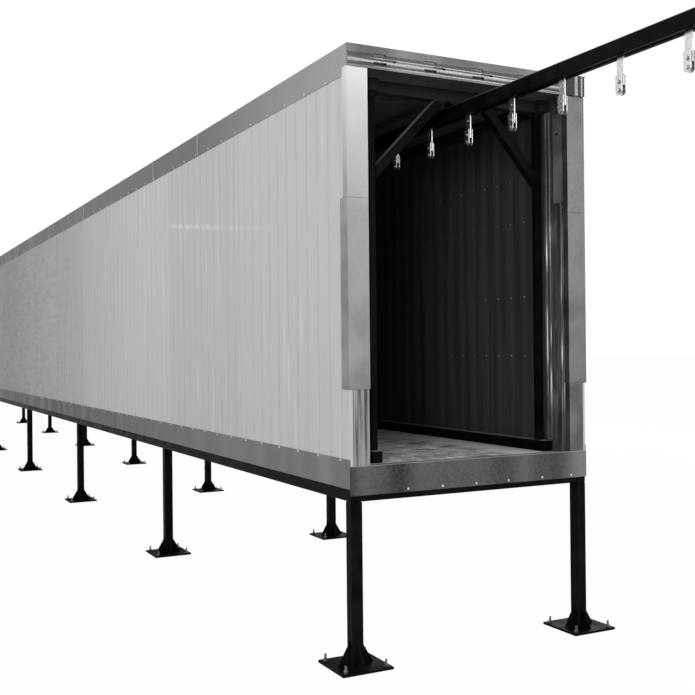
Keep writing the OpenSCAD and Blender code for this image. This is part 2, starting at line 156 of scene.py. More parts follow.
def coil_coated_steel():
    """Polyester paint rolled on at the mill: pale, with a low gloss, painted glare streaks and dull
    runs down it.
    """
    material, tree, place, split = new_material("coil_coated_steel")
    along = add_node(tree, "ShaderNodeMath", {0: split["Y"], 1: FRONT_Y}, operation="SUBTRACT")
    panel = add_node(tree, "ShaderNodeMath", {0: along, 1: PANEL}, operation="DIVIDE")
    number = add_node(tree, "ShaderNodeMath", {0: panel}, operation="FLOOR")
    shade = add_node(tree, "ShaderNodeTexWhiteNoise", {"W": number}, noise_dimensions="1D")
    tone = add_node(tree, "ShaderNodeValToRGB", {0: shade}, stops=[(0, "a5a5a5"), (1, "adadad")])
    drawn = add_node(tree, "ShaderNodeMapping", {"Vector": place, "Scale": (1, 1, 0.04)})
    runs = add_node(tree, "ShaderNodeTexNoise", {"Vector": drawn, "Scale": 48.0, "Detail": 3.0})
    # Pale vertical streaks are painted glare, the reflections of light down the glossy sheet; the
    # dull runs are darker
    pale = add_node(tree, "ShaderNodeMapRange", {0: runs, 1: 0.6, 2: 0.72, 3: 0.0, 4: 0.32})
    dull = add_node(tree, "ShaderNodeMapRange", {0: runs, 1: 0.46, 2: 0.26, 3: 0.0, 4: 0.3})
    patchy = add_node(tree, "ShaderNodeTexNoise", {"Vector": place, "Scale": 1.4, "Detail": 2.0})
    where = add_node(tree, "ShaderNodeMapRange", {0: patchy, 1: 0.42, 2: 0.6, 3: 0.15, 4: 1.0})
    pale = add_node(tree, "ShaderNodeMath", {0: pale, 1: where}, operation="MULTIPLY")
    colour = add_node(tree, "ShaderNodeMix", {0: pale, 6: tone, 7: linear("e4e4e4")}, output=2,
                      data_type="RGBA")
    colour = add_node(tree, "ShaderNodeMix", {0: dull, 6: colour, 7: linear("969696")}, output=2,
                      data_type="RGBA")
    # Painted shade darkening the floors of the grooves
    on_panel = add_node(tree, "ShaderNodeMath", {0: along, 1: PANEL}, operation="MODULO")
    groove = add_node(tree, "ShaderNodeMath", {0: on_panel, 1: FIRST_RIB}, operation="SUBTRACT")
    groove = add_node(tree, "ShaderNodeMath", {0: groove, 1: RIB_PITCH / 2}, operation="PINGPONG")
    groove = add_node(tree, "ShaderNodeMapRange", {0: groove, 1: 3 * MM, 2: 6 * MM, 3: 0.2,
                                                   4: 0.0})
    colour = add_node(tree, "ShaderNodeMix", {0: groove, 6: colour, 7: linear("747474")}, output=2,
                      data_type="RGBA")
    # A pale wipe mark across the second panel, rising away from the doorway
    wiped = add_node(tree, "ShaderNodeMath", {0: along, 1: 725 * MM}, operation="SUBTRACT")
    height = add_node(tree, "ShaderNodeMath", {0: wiped, 1: 0.125, 2: 1806 * MM},
                      operation="MULTIPLY_ADD")
    off = add_node(tree, "ShaderNodeMath", {0: split["Z"], 1: height}, operation="SUBTRACT")
    off = add_node(tree, "ShaderNodeMath", {0: off}, operation="ABSOLUTE")
    band = add_node(tree, "ShaderNodeMapRange", {0: off, 1: 4 * MM, 2: 18 * MM, 3: 1.0, 4: 0.0})
    begun = add_node(tree, "ShaderNodeMapRange", {0: wiped, 1: 0.0, 2: 0.9, 3: 0.0, 4: 0.45})
    ended = add_node(tree, "ShaderNodeMapRange", {0: wiped, 1: 1.6, 2: 1.65, 3: 1.0, 4: 0.0})
    left = add_node(tree, "ShaderNodeMath", {0: split["X"], 1: -INNER_X},
                    operation="LESS_THAN")
    broken = add_node(tree, "ShaderNodeMapRange", {0: runs, 1: 0.4, 2: 0.6, 3: 0.1, 4: 1.0})
    for factor in (begun, ended, left, broken):
        band = add_node(tree, "ShaderNodeMath", {0: band, 1: factor}, operation="MULTIPLY")
    colour = add_node(tree, "ShaderNodeMix", {0: band, 6: colour, 7: linear("dcdcdc")}, output=2,
                      data_type="RGBA")
    # Painted shade that deepens towards the rear of the left wall
    far_end_shade = add_node(tree, "ShaderNodeMapRange", {0: along, 1: 3.0, 2: 8.4, 3: 0.0, 4: 0.62})
    far_end_shade = add_node(tree, "ShaderNodeMath", {0: far_end_shade, 1: left}, operation="MULTIPLY")
    colour = add_node(tree, "ShaderNodeMix", {0: far_end_shade, 6: colour, 7: linear("3c3c3c")}, output=2,
                      data_type="RGBA")
    # Painted reflections of the surroundings, in level bands near the rear of the left wall
    level = add_node(tree, "ShaderNodeMapping", {"Vector": place, "Scale": (1, 0.15, 1)})
    reflection_bands = add_node(tree, "ShaderNodeTexNoise", {"Vector": level, "Scale": 26.0, "Detail": 4.0})
    reflection_bands = add_node(tree, "ShaderNodeMapRange", {0: reflection_bands, 1: 0.48, 2: 0.66, 3: 0.0, 4: 0.55})
    far = add_node(tree, "ShaderNodeMapRange", {0: along, 1: 4.5, 2: 8.0, 3: 0.0, 4: 1.0})
    far = add_node(tree, "ShaderNodeMath", {0: far, 1: left}, operation="MULTIPLY")
    reflection_bands = add_node(tree, "ShaderNodeMath", {0: reflection_bands, 1: far}, operation="MULTIPLY")
    colour = add_node(tree, "ShaderNodeMix", {0: reflection_bands, 6: colour, 7: linear("606060")}, output=2,
                      data_type="RGBA")
    broad = add_node(tree, "ShaderNodeMapping", {"Vector": place, "Scale": (1, 1, 0.3)})
    waves = add_node(tree, "ShaderNodeTexNoise", {"Vector": broad, "Scale": 6.0, "Detail": 2.0})
    rough = add_node(tree, "ShaderNodeMapRange", {0: runs, 1: 0.3, 2: 0.7, 3: 0.36, 4: 0.52})
    normal = add_node(tree, "ShaderNodeBump", {"Height": waves, "Strength": 0.3,
                                               "Distance": 4 * MM})
    shader = add_node(tree, "ShaderNodeBsdfPrincipled", {
        "Base Color": colour, "Roughness": rough, "Normal": normal, "Specular IOR Level": 0.15})
    add_node(tree, "ShaderNodeOutputMaterial", {"Surface": shader})
    return material


def shaded_oven_lining():
    """Lining sheet, painted dark for the shade inside the tunnel: a soft gloss, and paler between
    the ribs.
    """
    material, tree, place, split = new_material("shaded_oven_lining")
    drawn = add_node(tree, "ShaderNodeMapping", {"Vector": place, "Scale": (1, 1, 0.06)})
    runs = add_node(tree, "ShaderNodeTexNoise", {"Vector": drawn, "Scale": 26.0, "Detail": 5.0})
    # Painted shade: the lining is made this dark for the shade inside the tunnel
    colour = add_node(tree, "ShaderNodeValToRGB", {0: runs},
                      stops=[(0.3, "303030"), (0.7, "424242")])
    along = add_node(tree, "ShaderNodeMath", {0: split["Y"], 1: FRONT_Y}, operation="SUBTRACT")
    on_panel = add_node(tree, "ShaderNodeMath", {0: along, 1: PANEL}, operation="MODULO")
    from_rib = add_node(tree, "ShaderNodeMath", {0: on_panel, 1: FIRST_RIB}, operation="SUBTRACT")
    from_rib = add_node(tree, "ShaderNodeMath", {0: from_rib, 1: RIB_PITCH / 2},
                        operation="PINGPONG")
    # Paler on the flats between the ribs
    dust = add_node(tree, "ShaderNodeMapRange", {0: from_rib, 1: 16 * MM, 2: 46 * MM, 3: 0.0,
                                                 4: 0.15})
    colour = add_node(tree, "ShaderNodeMix", {0: dust, 6: colour, 7: linear("646464")}, output=2,
                      data_type="RGBA")
    rough = add_node(tree, "ShaderNodeMapRange", {0: runs, 1: 0.3, 2: 0.7, 3: 0.4, 4: 0.6})
    dents = add_node(tree, "ShaderNodeTexNoise", {"Vector": place, "Scale": 24.0, "Detail": 3.0})
    normal = add_node(tree, "ShaderNodeBump", {"Height": dents, "Strength": 0.25,
                                               "Distance": 1 * MM})
    shader = add_node(tree, "ShaderNodeBsdfPrincipled", {
        "Base Color": colour, "Roughness": rough, "Normal": normal, "Specular IOR Level": 0.2})
    add_node(tree, "ShaderNodeOutputMaterial", {"Surface": shader})
    return material


def galvanised(name, dark, light, metallic, rough, stretch=(1, 1, 0.06), bands=5.0, relief=0.25,
               fades=(), wear_and_sheen=None):
    """Hot-dipped zinc on sheet: spangle 8 mm across, soft bands, and dull stains in its sheen.

    A fade is an axis, two places on it, how far the colour has moved at the second, and to what:
    mostly painted light and shade along the trim.
    Where two heights are given, a painted reflection makes it bright and metallic between them, and
    it is dull elsewhere.
    """
    material, tree, place, split = new_material(name)
    drawn = add_node(tree, "ShaderNodeMapping", {"Vector": place, "Scale": stretch})
    band = add_node(tree, "ShaderNodeTexNoise", {"Vector": drawn, "Scale": bands, "Detail": 1.0})
    stain = add_node(tree, "ShaderNodeTexNoise", {"Vector": place, "Scale": 17.0, "Detail": 7.0,
                                                  "Roughness": 0.65})
    both = add_node(tree, "ShaderNodeMix", {0: 0.07, 2: band, 3: stain})
    colour = add_node(tree, "ShaderNodeValToRGB", {0: both}, stops=[(0.36, dark), (0.64, light)])
    cells = add_node(tree, "ShaderNodeTexVoronoi", {"Vector": place, "Scale": 125.0},
                     output="Color")
    grain = add_node(tree, "ShaderNodeMapRange", {0: cells, 3: 0.0, 4: 0.04})
    colour = add_node(tree, "ShaderNodeMix", {0: grain, 6: colour, 7: linear("e0e0e0")}, output=2,
                      data_type="RGBA")
    for axis, start, stop, amount, towards in fades:
        share = add_node(tree, "ShaderNodeMapRange", {0: split[axis], 1: start, 2: stop, 3: 0.0,
                                                      4: amount})
        colour = add_node(tree, "ShaderNodeMix", {0: share, 6: colour, 7: linear(towards)},
                          output=2, data_type="RGBA")
    if wear_and_sheen:
        # A painted reflection band, bright and metallic, between the two heights
        bottom, top = wear_and_sheen
        painted_sheen = add_node(tree, "ShaderNodeMapRange", {0: band, 1: 0.44, 2: 0.6, 3: 0.1, 4: 1.0})
        for start, stop in ((bottom - 0.08, bottom + 0.04), (top + 0.10, top - 0.04)):
            within = add_node(tree, "ShaderNodeMapRange", {0: split["Z"], 1: start, 2: stop,
                                                           3: 0.0, 4: 1.0})
            painted_sheen = add_node(tree, "ShaderNodeMath", {0: painted_sheen, 1: within},
                              operation="MULTIPLY")
        colour = add_node(tree, "ShaderNodeMix", {0: painted_sheen, 6: colour, 7: linear("a0a0a0")},
                          output=2, data_type="RGBA")
        metallic = add_node(tree, "ShaderNodeMapRange", {0: painted_sheen, 3: 0.1, 4: metallic})
    dull = add_node(tree, "ShaderNodeMapRange", {0: both, 1: 0.35, 2: 0.65, 3: rough - 0.06,
                                                 4: rough + 0.1})
    normal = add_node(tree, "ShaderNodeBump", {"Height": band, "Strength": relief,
                                               "Distance": 2 * MM})
    shader = add_node(tree, "ShaderNodeBsdfPrincipled", {
        "Base Color": colour, "Roughness": dull, "Normal": normal, "Metallic": metallic,
        "Specular IOR Level": 0.2})
    add_node(tree, "ShaderNodeOutputMaterial", {"Surface": shader})
    return material


def stained_floor_sheet():
    """Galvanised floor sheet under years of powder dust: blotched, scuffed along the tunnel."""
    material, tree, place, split = new_material("stained_floor_sheet")
    blotch = add_node(tree, "ShaderNodeTexNoise", {"Vector": place, "Scale": 9.0, "Detail": 10.0,
                                                   "Roughness": 0.75})
    colour = add_node(tree, "ShaderNodeValToRGB", {0: blotch},
                      stops=[(0.4, "7a7a7a"), (0.5, "cccccc"), (0.6, "f0f0f0")])
    drawn = add_node(tree, "ShaderNodeMapping", {"Vector": place, "Scale": (1, 0.3, 1)})
    scuff = add_node(tree, "ShaderNodeTexNoise", {"Vector": drawn, "Scale": 48.0, "Detail": 6.0})
    wear_and_sheen = add_node(tree, "ShaderNodeMapRange", {0: scuff, 1: 0.45, 2: 0.65, 3: 0.0, 4: 0.5})
    colour = add_node(tree, "ShaderNodeMix", {0: wear_and_sheen, 6: colour, 7: linear("787878")}, output=2,
                      data_type="RGBA")
    # Lighter along the right side of the floor
    paler_right_side = add_node(tree, "ShaderNodeMapRange", {0: split["X"], 1: 0.24, 2: 0.34, 3: 0.0,
                                                  4: 0.95})
    colour = add_node(tree, "ShaderNodeMix", {0: paler_right_side, 6: colour, 7: linear("ececec")}, output=2,
                      data_type="RGBA")
    rough = add_node(tree, "ShaderNodeMapRange", {0: blotch, 1: 0.3, 2: 0.7, 3: 0.45, 4: 0.8})
    normal = add_node(tree, "ShaderNodeBump", {"Height": scuff, "Strength": 0.35,
                                               "Distance": 1 * MM})
    shader = add_node(tree, "ShaderNodeBsdfPrincipled", {
        "Base Color": colour, "Roughness": rough, "Normal": normal,
        "Specular IOR Level": 0.4})
    add_node(tree, "ShaderNodeOutputMaterial", {"Surface": shader})
    return material


def black_enamel():
    """Satin enamel brushed on over mill scale: near black, with a fine orange peel."""
    material, tree, place, split = new_material("black_enamel")
    cloud = add_node(tree, "ShaderNodeTexNoise", {"Vector": place, "Scale": 13.0, "Detail": 6.0})
    colour = add_node(tree, "ShaderNodeValToRGB", {0: cloud},
                      stops=[(0.35, "080808"), (0.68, "121212")])
    facing = add_node(tree, "ShaderNodeNewGeometry", output="Normal")
    facing = add_node(tree, "ShaderNodeSeparateXYZ", {0: facing}, output="Z")
    upward = add_node(tree, "ShaderNodeMapRange", {0: facing, 1: 0.45, 2: 0.75, 3: 0.0, 4: 0.8})
    inside = add_node(tree, "ShaderNodeMapRange", {0: split["Z"], 1: FLOOR_Z + 20 * MM,
                                                   2: FLOOR_Z + 30 * MM, 3: 0.0, 4: 1.0})
    dust = add_node(tree, "ShaderNodeMath", {0: upward, 1: inside}, operation="MULTIPLY")
    colour = add_node(tree, "ShaderNodeMix", {0: dust, 6: colour, 7: linear("8c8c8c")}, output=2,
                      data_type="RGBA")
    # Painted reflection: the steel at and above the cross beams' underside is made a little lighter
    overhead_sheen = add_node(tree, "ShaderNodeMapRange", {0: split["Z"], 1: BEAM_BOTTOM_Z - 8 * MM,
                                                     2: BEAM_BOTTOM_Z, 3: 0.0, 4: 0.15})
    colour = add_node(tree, "ShaderNodeMix", {0: overhead_sheen, 6: colour, 7: linear("505050")},
                      output=2, data_type="RGBA")
    rough = add_node(tree, "ShaderNodeMapRange", {0: cloud, 1: 0.3, 2: 0.7, 3: 0.32, 4: 0.54})
    peel = add_node(tree, "ShaderNodeTexNoise", {"Vector": place, "Scale": 240.0, "Detail": 3.0})
    normal = add_node(tree, "ShaderNodeBump", {"Height": peel, "Strength": 0.25,
                                               "Distance": 0.4 * MM})
    shader = add_node(tree, "ShaderNodeBsdfPrincipled", {
        "Base Color": colour, "Roughness": rough, "Normal": normal, "Specular IOR Level": 0.014})
    add_node(tree, "ShaderNodeOutputMaterial", {"Surface": shader})
    return material


def plated(name, dark, light, metallic, rough):
    """Small steel parts, plated or oiled: a soft lustre with dull handling marks 8 mm across."""
    material, tree, place, split = new_material(name)
    marks = add_node(tree, "ShaderNodeTexNoise", {"Vector": place, "Scale": 130.0, "Detail": 5.0})
    colour = add_node(tree, "ShaderNodeValToRGB", {0: marks}, stops=[(0.36, dark), (0.62, light)])
    sheen = add_node(tree, "ShaderNodeMapRange", {0: marks, 1: 0.3, 2: 0.7, 3: rough - 0.08,
                                                  4: rough + 0.1})
    normal = add_node(tree, "ShaderNodeBump", {"Height": marks, "Strength": 0.2,
                                               "Distance": 0.3 * MM})
    shader = add_node(tree, "ShaderNodeBsdfPrincipled", {
        "Base Color": colour, "Roughness": sheen, "Normal": normal, "Metallic": metallic})
    add_node(tree, "ShaderNodeOutputMaterial", {"Surface": shader})
    return material


PANEL_SKIN = coil_coated_steel()
LINING = shaded_oven_lining()
# Painted shade: the left base flashing darkens towards the rear of the oven
BASE_FLASHING = galvanised("galvanised_base_flashing", "585858", "727272", 0.3, 0.46, fades=[
    ("Y", FRONT_Y + 0.2, FRONT_Y + 5, 0.8, "1c1c1c")])
# Painted light near the front corner of the left top flashing, and painted shade towards the rear
TOP_FLASHING = galvanised("galvanised_top_flashing", "404040", "585858", 0.3, 0.44, fades=[
    ("Y", FRONT_Y + 1.8, FRONT_Y, 0.2, "ececec"), ("Y", FRONT_Y + 3, FRONT_Y + 8, 0.35, "1c1c1c")])
# The right side's flashings, without the painted light and shade
UNSHADED_FLASHING = galvanised("galvanised_unshaded_flashing", "505050", "6a6a6a", 0.3, 0.45)
FLASHINGS = {"left": (BASE_FLASHING, TOP_FLASHING), "right": (UNSHADED_FLASHING, UNSHADED_FLASHING)}
FASCIA = galvanised("galvanised_fascia", "525252", "666666", 0.85, 0.3, relief=0.06)
# Lighter towards its right end, and a painted highlight along its top edge
THRESHOLD = galvanised("galvanised_threshold", "222222", "4a4a4a", 0.4, 0.36, (1, 1, 0.06), 6.0,
                       0.15, [("X", OUTER_X - 0.18, OUTER_X - 0.04, 0.12, "c4c4c4"),
                              ("Z", high("threshold_front").z - 4 * MM,
                               high("threshold_front").z, 0.3, "d0d0d0")])
# Painted light: the left covers grow paler towards the top
COVER_LEFT = galvanised("galvanised_cover", "646464", "7e7e7e", 0.3, 0.4, (1, 1, 1), 8.0, fades=[
    ("Z", 1.8, CEILING_Z, 0.48, "ececec")])
# The right covers and cap: the left covers' sheet painted darker, as painted shade on the right of
# the doorway
COVER_RIGHT = galvanised("shaded_cover", "4a4a4a", "606060", 0.75, 0.42, (1, 1, 1), 8.0)
CAP = galvanised("galvanised_cap", "323232", "7e7e7e", 0.4, 0.36, (1, 1, 0.05), 60.0)
# Zinc painted dark for the shade just inside the doorway, with a painted reflection bright and
# metallic over the middle of its height
REVEAL = galvanised("galvanised_reveal", "222222", "4c4c4c", 0.9, 0.28, (1, 1, 0.1), 40.0,
                    wear_and_sheen=(1.03, 1.74))
PATCH = galvanised("galvanised_patch", "787878", "949494", 0.6, 0.4, (1, 1, 1), 8.0)
# Near black sheet at the right end of each fascia
END_PLATE = galvanised("dark_end_plate", "141414", "242424", 0.3, 0.45, (1, 1, 1), 8.0)
FLOOR_SHEET = stained_floor_sheet()
ENAMEL = black_enamel()
# Bright plate on the hangers, and a paler one on the screws
ZINC = plated("zinc_plate", "868686", "aaaaaa", 0.9, 0.3)
SCREW_ZINC = plated("pale_screw_zinc", "a8a8a8", "d0d0d0", 0.2, 0.4)
# Duller, darker plate on the anchors
ANCHOR_ZINC = plated("anchor_zinc", "2c2c2c", "8a8a8a", 0.7, 0.36)
# Bare steel under an oil film
OILED = plated("oiled_steel", "303030", "5c5c5c", 0.8, 0.4)


# Making pieces

def merge_into(mesh, part):
    """Adds one bmesh to another."""
    data = bpy.data.meshes.new("part")
    part.to_mesh(data)
    part.free()
    mesh.from_mesh(data)
    bpy.data.meshes.remove(data)


def finish_piece(mesh, name, slot, materials, *replaced, smooth_under=0):
    """Turns a bmesh into a piece that rides on the oven, smooth across edges under an angle."""
    bmesh.ops.recalc_face_normals(mesh, faces=mesh.faces)
    for face in mesh.faces:
        face.smooth = smooth_under > 0
    data = bpy.data.meshes.new(name)
    mesh.to_mesh(data)
    mesh.free()
    if smooth_under:
        data.set_sharp_from_angle(angle=math.radians(smooth_under))
    for material in materials:
        data.materials.append(material)
    piece = bpy.data.objects.new(name, data)
    bpy.context.scene.collection.objects.link(piece)
    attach(piece, "root")
    if replaced:
        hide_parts(*replaced)
    return piece


def add_box(mesh, corner, opposite, bevel=0.0):
    """A box between two opposite corners, with its edges broken where that is asked."""
    lowest = Vector([min(a, b) for a, b in zip(corner, opposite)])
    highest = Vector([max(a, b) for a, b in zip(corner, opposite)])
    made = bmesh.ops.create_cube(mesh, size=1)
    bmesh.ops.scale(mesh, vec=highest - lowest, verts=made["verts"])
    bmesh.ops.translate(mesh, vec=(highest + lowest) / 2, verts=made["verts"])
    if bevel:
        edges = list({edge for vert in made["verts"] for edge in vert.link_edges})
        bmesh.ops.bevel(mesh, geom=edges, offset=bevel, segments=1, profile=0.5,
                        affect="EDGES", material=-1)


def add_round(mesh, place, outward, radius, top_radius, start, stop, sides=12):
    """A round or six-sided boss along outward, from start to stop off its place."""
    turn = UP.rotation_difference(Vector(outward)).to_matrix().to_4x4()
    matrix = (Matrix.Translation(place) @ turn
              @ Matrix.Translation((0, 0, (start + stop) / 2)))
    return bmesh.ops.create_cone(mesh, cap_ends=True, segments=sides, radius1=radius,
                                 radius2=top_radius, depth=stop - start, matrix=matrix)["verts"]


def cut_across(mesh, places, axis):
    """Adds a ring of edges round the mesh at each place along an axis."""
    normal = Vector((0, 0, 0))
    normal[axis] = 1
    for place in places:
        bmesh.ops.bisect_plane(mesh, geom=mesh.verts[:] + mesh.edges[:] + mesh.faces[:],
                               plane_co=normal * place, plane_no=normal, dist=HAIR / 10)


def spaced(first, last, pitch):
    return [first + i * pitch for i in range(int((last - first) / pitch + 1e-6) + 1)]


def is_long_corner(edge, name):
    """Whether an edge runs along one of the four long corners of a node's box."""
    lowest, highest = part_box(name)
    on_corner = all(min(abs(vert.co.x - lowest.x), abs(vert.co.x - highest.x)) < HAIR
                    and min(abs(vert.co.z - lowest.z), abs(vert.co.z - highest.z)) < HAIR
                    for vert in edge.verts)
    return on_corner and edge.calc_length() > 1


def rounded_copy(name, slot, materials, radius=0.0, segments=2, corner_radius=0.0,
                 smooth_under=0):
    """A CAD node's own shape with its sharp edges broken. Two materials go left and right."""
    mesh = bmesh.new()
    mesh.from_mesh(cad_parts[name].data)
    bmesh.ops.remove_doubles(mesh, verts=mesh.verts, dist=HAIR)
    bmesh.ops.dissolve_limit(mesh, angle_limit=math.radians(1), verts=mesh.verts,
                             edges=mesh.edges)
    sharp = [edge for edge in mesh.edges
             if len(edge.link_faces) == 2 and edge.calc_face_angle(0) > math.radians(40)]
    corners = [edge for edge in sharp if corner_radius and is_long_corner(edge, name)]
    others = [edge for edge in sharp if edge not in corners] if corners else sharp
    if radius:
        bmesh.ops.bevel(mesh, geom=others, offset=radius, segments=segments, profile=0.5,
                        affect="EDGES", material=-1, clamp_overlap=True)
    if corner_radius:
        corners = [edge for edge in mesh.edges if is_long_corner(edge, name)]
        bmesh.ops.bevel(mesh, geom=corners, offset=corner_radius, segments=segments, profile=0.5,
                        affect="EDGES", material=-1, clamp_overlap=True)
    if len(materials) == 2:
        for face in mesh.faces:
            face.material_index = 1 if face.calc_center_median().x > 0 else 0
    return finish_piece(mesh, name + "_rounded", slot, materials, name,
                        smooth_under=smooth_under)


# The tunnel's skins

GROOVE_HALF = 6 * MM
GROOVE_FLOOR = 2 * MM
GROOVE_DEPTH = 2 * MM
RIB_HALF = 20 * MM
RIB_FOOT = 26 * MM
RIB_HEIGHT = 1 * MM
SEAM = 2.5 * MM


def add_panel(mesh, start, end, lowest, highest, thin_axis, outward):
    """One panel: fine grooves in its outer skin, broad ribs in its lining, open seams."""
    outer, inner = highest[thin_axis], lowest[thin_axis]
    if outward < 0:
        outer, inner = inner, outer
    panel = bmesh.new()
    add_box(panel, (lowest.x, start, lowest.z), (highest.x, end, highest.z))
    centres = [start + FIRST_RIB + k * RIB_PITCH for k in range(RIBS_PER_PANEL)]
    centres = [centre for centre in centres if centre + RIB_FOOT < end]
    steps = [side * step for side in (-1, 1)
             for step in (RIB_FOOT, RIB_HALF, GROOVE_HALF, GROOVE_FLOOR)]
    cut_across(panel, [centre + step for centre in centres for step in steps], 1)
    for vert in panel.verts:
        near = min(abs(vert.co.y - centre) for centre in centres)
        if near < GROOVE_FLOOR + HAIR and abs(vert.co[thin_axis] - outer) < HAIR:
            vert.co[thin_axis] -= outward * GROOVE_DEPTH
        elif near > RIB_HALF + HAIR and abs(vert.co[thin_axis] - inner) < HAIR:
            vert.co[thin_axis] += outward * RIB_HEIGHT
    panel.normal_update()
    for face in panel.faces:
        face.material_index = 1 if face.normal[thin_axis] * outward < -0.5 else 0
    seam = [edge for edge in panel.edges
            if all(min(vert.co.y - start, end - vert.co.y) < HAIR
                   and abs(vert.co[thin_axis] - outer) < HAIR for vert in edge.verts)]
    bmesh.ops.bevel(panel, geom=seam, offset=SEAM, segments=1, profile=0.5, affect="EDGES",
                    material=-1)
    merge_into(mesh, panel)


def build_skins():
    for name, thin_axis, outward in (("left_wall", 0, -1), ("right_wall", 0, 1),
                                     ("roof", 2, 1), ("floor_panels", 2, -1)):
        mesh = bmesh.new()
        for i in range(PANELS):
            start = FRONT_Y + i * PANEL
            add_panel(mesh, start, min(start + PANEL, REAR_Y), *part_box(name), thin_axis, outward)
        finish_piece(mesh, name + "_panels", "panel_skin", [PANEL_SKIN, LINING], name)


# Sheet metal trim

SCREW_PITCH = 206 * MM
TOP_LAPS = (1808, 2675, 4683, 5958, 8000, 10000, 12000, 14000)
BASE_LAPS = (2028, 2950, 3713, 5700, 7700, 9700, 11700, 13700)
THRESHOLD_SCREWS = (262, 427, 594, 760, 939, 1099)
RIVET_LEVELS = (1214, 1492, 1846, 2048)


def add_screw(mesh, place, outward):
    """A self-drilling screw: its washer and its six-sided head."""
    add_round(mesh, place, outward, 5 * MM, 4.6 * MM, 0, 1 * MM)
    add_round(mesh, place, outward, 3.4 * MM, 3.1 * MM, 1 * MM, 4.4 * MM, sides=6)


def build_fixings():
    screws = bmesh.new()
    for side in (-1, 1):
        face_x = side * (OUTER_X + 2 * MM)
        for y in spaced(FRONT_Y + 184 * MM, REAR_Y - 100 * MM, SCREW_PITCH):
            add_screw(screws, (face_x, y, TOP_FLASHING_Z + 10 * MM), (side, 0, 0))
        for y in spaced(FRONT_Y + 78 * MM, REAR_Y - 60 * MM, SCREW_PITCH):
            add_screw(screws, (face_x, y, FLASHING_TOP_Z - 6 * MM), (side, 0, 0))
    threshold_z = low("threshold_front").z + 12 * MM
    for end in (-1, 1):
        for x in THRESHOLD_SCREWS:
            add_screw(screws, (x * MM - OUTER_X, end * high("threshold_rear").y, threshold_z),
                      (0, end, 0))
    finish_piece(screws, "flashing_screws", "zinc_plated_steel", [SCREW_ZINC])
    rivets = bmesh.new()
    for i in range(PANELS):
        for k in range(RIBS_PER_PANEL):
            y = FRONT_Y + i * PANEL + FIRST_RIB + (k + 0.5) * RIB_PITCH
            if y > REAR_Y - 50 * MM:
                continue
            for side in (-1, 1):
                for z in RIVET_LEVELS:
                    add_round(rivets, (side * (INNER_X + RIB_HEIGHT), y, z * MM), (-side, 0, 0),
                              4 * MM, 2 * MM, 0, 2 * MM, sides=8)
    finish_piece(rivets, "lining_rivets", "zinc_plated_steel", [ZINC])


def build_laps():
    """Where two lengths of flashing overlap: the outer sheet's end, and a pale bead along it."""
    for side, suffix in ((-1, "left"), (1, "right")):
        face_x = side * (OUTER_X + 2 * MM)
        for places, bottom, top, zinc, where in (
                (TOP_LAPS, TOP_FLASHING_Z, ROOF_Z + 1 * MM, FLASHINGS[suffix][1], "top"),
                (BASE_LAPS, BASE_TOP_Z, FLASHING_TOP_Z, FLASHINGS[suffix][0], "base")):
            laps = bmesh.new()
            beads = bmesh.new()
            for y in places:
                start = FRONT_Y + y * MM
                add_box(laps, (face_x, start, bottom),
                        (face_x + side * 1.5 * MM, start + 50 * MM, top), 0.5 * MM)
                add_box(beads, (face_x, start - 5 * MM, bottom + 2 * MM),
                        (face_x + side * 2.2 * MM, start, top - 2 * MM), 0.8 * MM)
            finish_piece(laps, f"{where}_laps_{suffix}", "galvanised_sheet", [zinc])
            finish_piece(beads, f"{where}_lap_beads_{suffix}", "galvanised_sheet", [COVER_LEFT])


RIDGE_HALF = 8 * MM
RIDGE_HEIGHT = 5 * MM
RIDGE_STEPS = 5
# Behind the end face: where each ribbed strip starts and stops, and where its ridges run
REVEAL_STRIPS = (((31, 125), (40, 58), FLOOR_Z + 1 * MM, CEILING_Z - 1 * MM),
                 ((125.5, 172), (135, 160), RAIL_TOP_Z + 2 * MM, BEAM_BOTTOM_Z - 2 * MM))


def add_ribbed_strip(mesh, side, end, span, ridges, bottom, top):
    """A strip of sheet on the inner wall, with round ridges pressed into it."""
    strip = bmesh.new()
    wall = side * INNER_X
    face = wall - side * 1.5 * MM
    add_box(strip, (wall, end * (REAR_Y - span[0] * MM), bottom),
            (face, end * (REAR_Y - span[1] * MM), top))
    cut_across(strip, [end * (REAR_Y - ridge * MM + step * RIDGE_HALF / RIDGE_STEPS)
                       for ridge in ridges for step in range(-RIDGE_STEPS, RIDGE_STEPS + 1)], 1)
    for vert in strip.verts:
        near = min(abs(REAR_Y - end * vert.co.y - ridge * MM) for ridge in ridges)
        if near < RIDGE_HALF and abs(vert.co.x - face) < HAIR:
            vert.co.x -= side * RIDGE_HEIGHT * math.cos(near / RIDGE_HALF * math.pi / 2)
    merge_into(mesh, strip)


def build_reveals():
    """Ribbed strips just inside each doorway, and the patch plate on the front right one."""
    strips = bmesh.new()
    for side in (-1, 1):
        for end in (-1, 1):
            for strip in REVEAL_STRIPS:
                add_ribbed_strip(strips, side, end, *strip)
    finish_piece(strips, "reveal_strips", "galvanised_sheet", [REVEAL], smooth_under=30)
    patch = bmesh.new()
    face = INNER_X - RIDGE_HEIGHT - 1.6 * MM
    add_box(patch, (face, FRONT_Y + 31 * MM, 1.90), (face - 1.5 * MM, FRONT_Y + 97 * MM, 2.30))
    corners = [edge for edge in patch.edges
               if abs(edge.verts[0].co.x - edge.verts[1].co.x) > MM]
    bmesh.ops.bevel(patch, geom=corners, offset=14 * MM, segments=4, profile=0.5,
                    affect="EDGES", material=-1)
    finish_piece(patch, "reveal_patch", "galvanised_sheet", [PATCH])
    plug = bmesh.new()
    add_round(plug, (face - 1.5 * MM, FRONT_Y + 68 * MM, 2.21), (-1, 0, 0), 6 * MM, 5 * MM, 0,
              1.2 * MM)
    finish_piece(plug, "reveal_plug", "black_steel", [ENAMEL])


